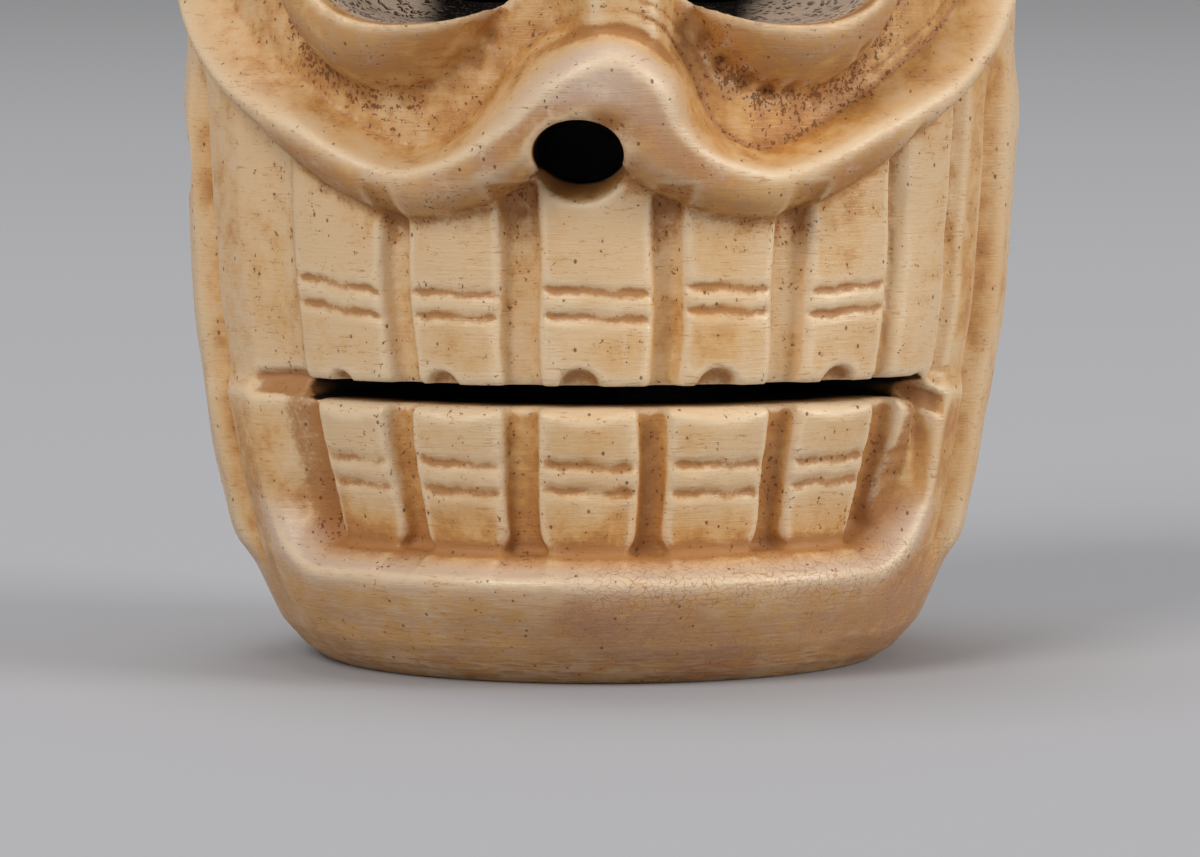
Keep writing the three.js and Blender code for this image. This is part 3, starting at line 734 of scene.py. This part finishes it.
def marrowCavity():
    deselectAll()
    bpy.ops.mesh.primitive_uv_sphere_add(segments=96, ring_count=72, radius=1)
    cavity = bpy.context.object
    points = readPoints(cavity.data)
    angle = np.degrees(np.arctan2(points[:, 0], -points[:, 1]))
    up = np.arctan2(points[:, 2], np.hypot(points[:, 0], points[:, 1])) / math.pi + 0.5
    shoulder = bone["height"] - bone["roof"] - bone["shoulder"]
    floorShare, domeShare = 0.06, 0.8
    level = np.interp(up, (floorShare, domeShare), (-1, shoulder))
    edge = boneSurface(angle, np.clip(level, 0, shoulder), bone["wall"])
    turn = np.clip((up - domeShare) / (1 - domeShare), 0, 1) * math.pi / 2
    edge[:, :2] *= (np.cos(turn) * np.clip(up / floorShare, 0, 1))[:, None]
    edge[:, 2] = level + bone["shoulder"] * np.sin(turn)
    writePoints(cavity.data, edge)
    return cavity


def eyeSocket(side):
    angle = eye["angles"][side]
    middle = boneSurface(np.array([angle]), np.array([eye["level"]]))[0]
    outward = boneNormal(np.array([angle]), np.array([eye["level"]]))[0]
    outward[2] = 0
    outward /= np.linalg.norm(outward)
    noseward = np.array([outward[1], -outward[0], 0]) * side
    deselectAll()
    bpy.ops.mesh.primitive_circle_add(vertices=64, radius=1, fill_type="NGON")
    socket = bpy.context.object
    points = readPoints(socket.data)
    turn = np.arctan2(points[:, 1], points[:, 0])
    power = 2 / eye["squareness"]
    startSize = eye["socketStartSize"]
    across = np.sign(np.cos(turn)) * np.abs(np.cos(turn)) ** power * eye["halfWidth"] * startSize
    upward = np.sign(np.sin(turn)) * np.abs(np.sin(turn)) ** power * eye["halfHeight"] * startSize
    start = middle + outward * eye["socketStart"]
    writePoints(socket.data, start + np.outer(across, noseward) + np.outer(upward, (0, 0, 1)))
    rings, before, size, lean = [], eye["socketStart"], startSize, 0
    for out, share, shift in eye["socket"]:
        move = outward * (out - before) + noseward * (shift - lean)
        rings.append((tuple(move), share / size))
        before, size, lean = out, share, shift
    extrudeRings(rings)
    return socket


def mouthSlit():
    # a thin disc, cut to a slice at the two ends of the mouth
    deselectAll()
    gap = mouth["gap"]
    bpy.ops.mesh.primitive_cylinder_add(vertices=96, radius=20, depth=gap, location=(0, 0, mouth["level"]))
    slit = bpy.context.object
    bpy.ops.object.mode_set(mode="EDIT")
    for angle, hand in zip(mouth["ends"], (1, -1)):
        a = math.radians(angle)
        away = (-math.cos(a) * hand, -math.sin(a) * hand, 0)
        bpy.ops.mesh.select_all(action="SELECT")
        bpy.ops.mesh.bisect(plane_co=(0, 0, 0), plane_no=away, use_fill=True, clear_outer=True)
    bpy.ops.object.mode_set(mode="OBJECT")
    return slit


def drilledHole(angle, level, across, tall, slope=0.0, deep=8.0, sink=0.0):
    # a cylinder, or a cone when it slopes, pointing straight out of the bone
    middle = boneSurface(np.array([float(angle)]), np.array([float(level)]))[0]
    deselectAll()
    bpy.ops.mesh.primitive_cone_add(
        vertices=64, radius1=across / 2 - slope, radius2=across / 2 + slope, depth=deep * 2
    )
    hole = bpy.context.object
    hole.scale = (1, tall / across, 1)
    hole.rotation_euler = (math.pi / 2, 0, math.radians(angle))
    outward = np.array([math.sin(math.radians(angle)), -math.cos(math.radians(angle)), 0])
    hole.location = middle - outward * sink
    return hole


def cleanUp(head):
    # an even skin with softened edges, then thinned where it is plain
    deselectAll()
    head.select_set(True)
    bpy.context.view_layer.objects.active = head
    skin = head.modifiers.new("skin", "REMESH")
    skin.mode = "VOXEL"
    skin.voxel_size = detail["voxel"]
    bpy.ops.object.modifier_apply(modifier=skin.name)
    soften = head.modifiers.new("soften", "SMOOTH")
    soften.factor = 0.5
    soften.iterations = 3
    bpy.ops.object.modifier_apply(modifier=soften.name)
    print("skin", len(head.data.vertices))
    measureSkin(head.data)
    triangles = 2 * len(head.data.polygons)
    thin = head.modifiers.new("thin", "DECIMATE")
    thin.ratio = min(1, detail["triangles"] / triangles)
    bpy.ops.object.modifier_apply(modifier=thin.name)
    points = readPoints(head.data)
    points[:, 2] = np.maximum(points[:, 2], 0)
    writePoints(head.data, points)
    print("thinned to", len(head.data.polygons))


# Rounds of smoothing at a voxel's size, and the bend that counts as full, in millimetres
bend = {"voxel": 0.12, "fineRounds": 7, "wideRounds": 45, "fineFull": 0.035, "wideFull": 0.16}


def measureSkin(mesh):
    # how hollow the skin is, from how far smoothing moves it: crease close by, hollow more widely
    points = readPoints(mesh)
    count = len(points)
    edges = np.empty(len(mesh.edges) * 2, np.int32)
    mesh.edges.foreach_get("vertices", edges)
    a, b = edges.reshape(-1, 2).T
    near = np.maximum(np.bincount(a, minlength=count) + np.bincount(b, minlength=count), 1)
    normals = np.empty(count * 3)
    mesh.vertex_normals.foreach_get("vector", normals)
    normals = normals.reshape(-1, 3)

    def smoothed(values, times):
        for _ in range(times):
            columns = [
                np.bincount(a, values[b, k], count) + np.bincount(b, values[a, k], count)
                for k in range(values.shape[1])
            ]
            values = np.stack(columns, axis=1) / near[:, None]
        return values

    scale = bend["voxel"] / detail["voxel"]
    fine = smoothed(points, max(2, round(bend["fineRounds"] * scale**2)))
    wide = smoothed(fine, max(4, round(bend["wideRounds"] * scale**2)))
    fineBend = np.einsum("ij,ij->i", fine - points, normals)
    wideBend = np.einsum("ij,ij->i", wide - points, normals)
    saveAttribute(mesh, "crease", np.clip(fineBend / bend["fineFull"], -1, 1))
    saveAttribute(mesh, "hollow", np.clip(wideBend / bend["wideFull"], -1, 1))


def saveAttribute(mesh, name, values):
    layer = mesh.attributes.get(name) or mesh.attributes.new(name, "FLOAT", "POINT")
    layer.data.foreach_set("value", np.ascontiguousarray(values, np.float32))


def measureDepths(mesh):
    # cut is how far below the carved surface a cut wall lies
    points = readPoints(mesh)
    x, y, z = points.T
    depthAlong = np.where(y < 0, bone["frontDepth"], bone["backDepth"])
    angle = np.degrees(np.arctan2(x / (bone["width"] / 2), -y / depthAlong))
    for _ in range(4):  # the surface's angle is not quite the point's own
        there = boneSurface(angle, np.minimum(z, bone["height"]))
        turnedBy = np.arctan2(-x * there[:, 1] + y * there[:, 0], x * there[:, 0] + y * there[:, 1])
        angle += np.degrees(turnedBy)
    span = bone["height"] - bone["domeStart"]
    risen = np.clip((z - bone["domeStart"]) / span, 0, 1)
    level = np.where(z < bone["domeStart"], z, bone["domeStart"] + span * np.arcsin(risen) / (math.pi / 2))
    there = boneSurface(angle, level)
    height, found = relief(angle, z)
    outside = np.hypot(there[:, 0], there[:, 1]) + height
    cut = outside - np.hypot(x, y)
    # the drilled ends are counted deep all the way in, so their walls get black painted shade
    for end in mouth["ends"]:  # the drilled ends are dark all the way in
        near = np.hypot((angle - end) * bone["arcPerDegree"], z - mouth["level"])
        cut += 2 * (1 - rise(0.4, 0.6, near)) * (cut > 0.1)
    saveAttribute(mesh, "cut", np.clip(cut, 0, 12) * (z < bone["height"] - 4))
    risenBy = (z - eye["level"]) / bone["arcPerDegree"]
    eyeAway = np.hypot(np.abs(angle) - eye["angles"][1], risenBy) / eye["socketReach"]
    saveAttribute(mesh, "socket", 1 - rise(0.8, 1.1, eyeAway))
    for name, values in found.items():
        saveAttribute(mesh, name, values)
    print("depths measured")


def carveHead():
    head = carveOutside()
    print("outside carved")
    openings = mouthSlit()
    recalculate(openings)
    for side in (1, -1):
        combine(openings, eyeSocket(side), "UNION")
    for angle in mouth["ends"]:
        end = drilledHole(angle, mouth["level"], mouth["endDiameter"], mouth["endDiameter"])
        combine(openings, end, "UNION")
    nose = drilledHole(noseHole["angle"], noseHole["level"], noseHole["width"], noseHole["height"])
    combine(openings, nose, "UNION")
    bevel = [noseEdge[name] for name in ("level", "width", "height", "slope", "deep", "sink")]
    combine(openings, drilledHole(noseHole["angle"], *bevel), "UNION")
    for angle in cordHole["angles"]:
        hole = drilledHole(angle, cordHole["level"], cordHole["width"], cordHole["height"])
        combine(openings, hole, "UNION")
    combine(head, openings)
    print("openings cut", len(head.data.vertices))
    cleanUp(head)
    combine(head, marrowCavity())
    deselectAll()
    head.select_set(True)
    bpy.context.view_layer.objects.active = head
    bpy.ops.object.shade_smooth_by_angle(angle=math.radians(50))
    measureDepths(head.data)
    points = readPoints(head.data)
    points[:, 1] += axisY
    writePoints(head.data, points * mm)
    return head


# Shader maths written as Python expressions


class Value:
    def __init__(self, shader, socket):
        self.shader = shader
        self.socket = socket

    def math(self, operation, *others):
        return self.shader.math(operation, self, *others)

    def __add__(self, other):
        return self.math("ADD", other)

    def __sub__(self, other):
        return self.math("SUBTRACT", other)

    def __mul__(self, other):
        return self.math("MULTIPLY", other)

    def __radd__(self, other):
        return self.shader.math("ADD", other, self)

    def __rsub__(self, other):
        return self.shader.math("SUBTRACT", other, self)

    def __rmul__(self, other):
        return self.shader.math("MULTIPLY", other, self)

    def clamped(self):
        return self.math("MAXIMUM", 0).math("MINIMUM", 1)

    def rising(self, low, high):
        settings = {"interpolation_type": "SMOOTHSTEP"}
        values = {"Value": self, "From Min": low, "From Max": high}
        made = self.shader.node("ShaderNodeMapRange", settings, values)
        return Value(self.shader, made.outputs["Result"])


class Shader:
    def __init__(self, name):
        self.material = bpy.data.materials.new(name)
        self.material.use_nodes = True
        self.tree = self.material.node_tree
        self.surface = self.tree.nodes["Principled BSDF"]

    def node(self, kind, settings=None, values=None):
        made = self.tree.nodes.new(kind)
        for key, value in (settings or {}).items():
            setattr(made, key, value)
        for key, value in (values or {}).items():
            self.feed(made.inputs[key], value)
        return made

    def feed(self, socket, value):
        if isinstance(value, Value):
            self.tree.links.new(value.socket, socket)
        elif isinstance(value, bpy.types.NodeSocket):
            self.tree.links.new(value, socket)
        else:
            socket.default_value = value

    def math(self, operation, *values):
        made = self.node("ShaderNodeMath", {"operation": operation}, dict(enumerate(values)))
        return Value(self, made.outputs[0])

    def attribute(self, name):
        return Value(self, self.node("ShaderNodeAttribute", {"attribute_name": name}).outputs["Fac"])

    def stretched(self, source, scale, move=(0, 0, 0)):
        made = self.node("ShaderNodeMapping", {}, {"Vector": source, "Scale": scale, "Location": move})
        return made.outputs["Vector"]

    def noise(self, source, scale, detailLevel=3.0, rough=0.55, warp=0.0):
        values = {"Vector": source, "Scale": scale, "Detail": detailLevel}
        values.update({"Roughness": rough, "Distortion": warp})
        return Value(self, self.node("ShaderNodeTexNoise", {}, values).outputs["Fac"])

    def cells(self, source, scale, feature="F1"):
        # how far the nearest cell's point is, and the cell's own random number
        made = self.node("ShaderNodeTexVoronoi", {"feature": feature}, {"Vector": source, "Scale": scale})
        if feature != "F1":
            return Value(self, made.outputs["Distance"]), None
        split = self.node("ShaderNodeSeparateColor", {}, {"Color": made.outputs["Color"]})
        return Value(self, made.outputs["Distance"]), Value(self, split.outputs[0])

    def tint(self, base, colour, share, style="MIX"):
        made = self.node("ShaderNodeMix", {"data_type": "RGBA", "blend_type": style, "clamp_factor": True})
        self.feed(made.inputs[0], share)
        self.feed(made.inputs[6], base)
        self.feed(made.inputs[7], colour)
        return made.outputs[2]

    def bump(self, height, distance):
        values = {"Height": height, "Distance": distance, "Strength": 1.0}
        return self.node("ShaderNodeBump", {}, values).outputs["Normal"]


boneFinish = {
    "ivory": (0.66, 0.455, 0.255, 1),
    "pale": (0.75, 0.575, 0.375, 1),
    "honey": (0.6, 0.32, 0.095, 1),
    "amber": (0.38, 0.145, 0.032, 1),
    "stain": (0.37, 0.155, 0.04, 1),
    "dirt": (0.16, 0.05, 0.01, 1),
    "chalkAndHighlight": (0.53, 0.39, 0.3, 1),
    "rosy": (0.44, 0.235, 0.135, 1),
    "spongy": (0.52, 0.41, 0.32, 1),
    # near black, the painted shade deep in the openings
    "paintedShade": (0.006, 0.003, 0.0015, 1),
    "roughness": 0.38,
}


def boneMaterial():
    shader = Shader("bone")
    finish = boneFinish
    place = shader.node("ShaderNodeTexCoord").outputs["Object"]
    place = shader.stretched(place, (1000, 1000, 1000))
    crease, hollow = shader.attribute("crease"), shader.attribute("hollow")
    cut, socket, chalkAndHighlightMask = (shader.attribute(name) for name in ("cut", "socket", "chalkAndHighlight"))
    stained, honeyed, specked = (shader.attribute(name) for name in ("stain", "honey", "specks"))
    apart = shader.node("ShaderNodeSeparateXYZ", {}, {"Vector": place})
    sideways, height = Value(shader, apart.outputs["X"]), Value(shader, apart.outputs["Z"])

    patches = shader.noise(place, 0.26, 2, 0.5)
    clouds = shader.noise(place, 1.1, 3, 0.65)
    grit = shader.noise(place, 8, 2, 0.6)
    strokes = shader.noise(shader.stretched(place, (0.8, 0.8, 9)), 1, 2, 0.65, 0.4)
    chin = (4.4 - height).rising(0, 1.6)

    # handling and stain turn the bone honey coloured, most in its hollows
    warm = honeyed * 1.1 + hollow * 0.2 + (patches - 0.5) * 2.2 + (clouds - 0.5) * 2.0 + 0.05
    # the right side is painted a little warmer and darker: painted shade, as the light comes from the left
    warm = warm + sideways * 0.006
    colour = shader.tint(finish["ivory"], finish["honey"], warm)
    amber = (honeyed + hollow * 0.2 + (clouds - 0.5) * 2.6 + (patches - 0.5) * 2.2).rising(0.35, 1.5)
    colour = shader.tint(colour, finish["amber"], amber * 0.8)
    rosy = chin * ((strokes - 0.5) * 1.6 + (patches - 0.5) * 1.5 + 0.55)
    colour = shader.tint(colour, finish["rosy"], rosy * 0.9)
    # pale pinkish chalk: the nose's own colour, and a painted highlight on the crests and the jaw's lip
    chalkAndHighlightShare = (chalkAndHighlightMask * (patches * 0.6 + clouds * 1.0 + 0.1)).clamped()
    colour = shader.tint(colour, finish["chalkAndHighlight"], chalkAndHighlightShare * 0.95)
    worn = (crease * -1.0 + (clouds - 0.5) * 1.2).rising(0.1, 0.9)
    colour = shader.tint(colour, finish["pale"], worn * 0.62)
    footStrokes = (1.5 - height).rising(0, 1.0) * (strokes + (clouds - 0.5) * 0.5).rising(0.46, 0.6)
    colour = shader.tint(colour, finish["amber"], footStrokes * 0.8)
    mottled = (clouds * 1.2 - patches * 0.6).rising(0.2, 0.45)
    colour = shader.tint(colour, finish["honey"], chin * mottled * 0.5)

    # brown has settled in the scored lines and sharp corners
    settled = stained * 0.9 + crease * 0.22 + specked * 0.22
    line = (settled + (grit - 0.5) * 0.8 + (clouds - 0.5) * 1.1).rising(0.22, 0.95)
    colour = shader.tint(colour, finish["stain"], line * 0.88)

    # short scratches that have filled with stain
    scratched = shader.noise(shader.stretched(place, (1.6, 1.6, 11), (3, 0, 7)), 1, 2, 0.6, 0.9)
    colour = shader.tint(colour, finish["stain"], (scratched + (clouds - 0.5) * 0.25).rising(0.62, 0.7) * 0.5)

    # the vessels of the bone show as specks, thickest round the eyes
    dots, chance = shader.cells(shader.stretched(place, (1, 1, 0.7)), 2.3)
    pores = (1 - dots.rising(0.08, 0.17)) * (0.3 - chance).rising(0, 0.06)
    stipple = shader.noise(shader.stretched(place, (1, 1, 0.8)), 6.5, 2, 0.7)
    specks = (pores + (stipple + specked * 0.15 + (clouds - 0.5) * 0.4).rising(0.69, 0.77)).clamped()
    colour = shader.tint(colour, finish["dirt"], specks * 0.85)
    warped = shader.node("ShaderNodeTexNoise", {}, {"Vector": place, "Scale": 1.2, "Detail": 1.0})
    crazed = shader.node("ShaderNodeVectorMath", {"operation": "ADD"}, {0: place, 1: warped.outputs["Color"]})
    crazed = crazed.outputs[0]
    crackle, _ = shader.cells(shader.stretched(crazed, (1, 1, 1.5)), 2.9, "DISTANCE_TO_EDGE")
    chinTop = (height.rising(2.4, 3.2) - height.rising(4.4, 5.0)) * sideways.rising(-2, 1.5)
    cracked = (1 - crackle.rising(0.01, 0.06)) * (chinTop + chin * patches.rising(0.48, 0.6) * 0.6)
    colour = shader.tint(colour, finish["stain"], cracked * 0.6)

    # the walls of the openings darken inwards: brown, partly stain and partly painted shade, then black
    # painted shade where they run deep; the eye sockets are cut into spongy bone
    colour = shader.tint(colour, finish["stain"], cut.rising(0.12, 0.8) * 0.75)
    sponge, _ = shader.cells(shader.stretched(crazed, (1, 1, 0.7)), 4.2)
    spongeWall = sponge.rising(0.05, 0.5)
    inSocket = cut.rising(0.35, 1.1) * socket
    colour = shader.tint(colour, finish["spongy"], inSocket * 0.92)
    colour = shader.tint(colour, finish["dirt"], inSocket * (1 - spongeWall) * 0.6)
    # on the nose side the socket walls turn black: painted shade
    noseward = 1 - sideways.math("ABSOLUTE").rising(4.9, 6.2)
    colour = shader.tint(colour, finish["paintedShade"], inSocket * noseward * cut.rising(0.9, 2.2))
    colour = shader.tint(colour, finish["paintedShade"], cut.rising(0.7, 1.9) * (1 - socket))
    colour = shader.tint(colour, finish["paintedShade"], cut.rising(4.2, 6.0))

    # all the small unevenness in millimetres
    unevenness = strokes * 0.022 + grit * 0.012 - specks * 0.018 + spongeWall * inSocket * 0.22
    rough = (clouds - 0.5) * 0.3 + honeyed * 0.1 + line * 0.15 + specks * 0.2 + (strokes - 0.5) * 0.2
    shader.feed(shader.surface.inputs["Base Color"], colour)
    shader.feed(shader.surface.inputs["Roughness"], (rough + finish["roughness"]).clamped())
    shader.feed(shader.surface.inputs["Normal"], shader.bump(unevenness, mm))
    shader.surface.inputs["IOR"].default_value = 1.5
    return shader.material


studio = {
    "floorSize": 6.0,
    "floorNear": (0.388, 0.388, 0.406, 1),
    "floorFarPaintedShade": (0.342, 0.34, 0.345, 1),
    "sky": (0.90, 0.92, 0.95, 1),
    "skyStrength": 0.38,
    "keyLight": {"location": (-1.1, -1.75, 1.5), "size": 1.2, "power": 38, "colour": (1, 0.98, 0.95)},
    "sideLight": {"location": (1.75, -0.55, 0.8), "size": 1.0, "power": 24, "colour": (1, 0.99, 0.97)},
    "topLight": {"location": (-0.2, 0.3, 2.2), "size": 1.0, "power": 14, "colour": (1, 1, 1)},
}


def addLight(spec):
    deselectAll()
    bpy.ops.object.light_add(type="AREA", location=spec["location"])
    lamp = bpy.context.object
    lamp.data.size = spec["size"]
    lamp.data.energy = spec["power"]
    lamp.data.color = spec["colour"]
    towards = Vector((0, 0, 0.015)) - lamp.location
    lamp.rotation_euler = towards.to_track_quat("-Z", "Y").to_euler()


def addStudio():
    deselectAll()
    bpy.ops.mesh.primitive_plane_add(size=studio["floorSize"])
    floor = bpy.context.object
    floor.name = "studioFloor"
    shader = Shader("paleFloor")
    place = shader.node("ShaderNodeTexCoord").outputs["Object"]
    back = Value(shader, shader.node("ShaderNodeSeparateXYZ", {}, {"Vector": place}).outputs["Y"])
    # the floor is painted darker further back: painted shade
    colour = shader.tint(studio["floorNear"], studio["floorFarPaintedShade"], back.rising(0.05, 1.1))
    shader.feed(shader.surface.inputs["Base Color"], colour)
    shader.surface.inputs["Roughness"].default_value = 0.75
    shader.surface.inputs["Specular IOR Level"].default_value = 0.2
    floor.data.materials.append(shader.material)
    for name in ("keyLight", "sideLight", "topLight"):
        addLight(studio[name])
    world = bpy.data.worlds.new("studioAir")
    world.use_nodes = True
    bpy.context.scene.world = world
    sky = world.node_tree.nodes["Background"]
    sky.inputs["Color"].default_value = studio["sky"]
    sky.inputs["Strength"].default_value = studio["skyStrength"]
    bpy.context.scene.view_settings.view_transform = "Standard"


head = carveHead()
head.data.materials.clear()
head.data.materials.append(boneMaterial())
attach(head, "root")
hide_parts("carved_skull")
print("head dressed")

addStudio()
print("studio lit")
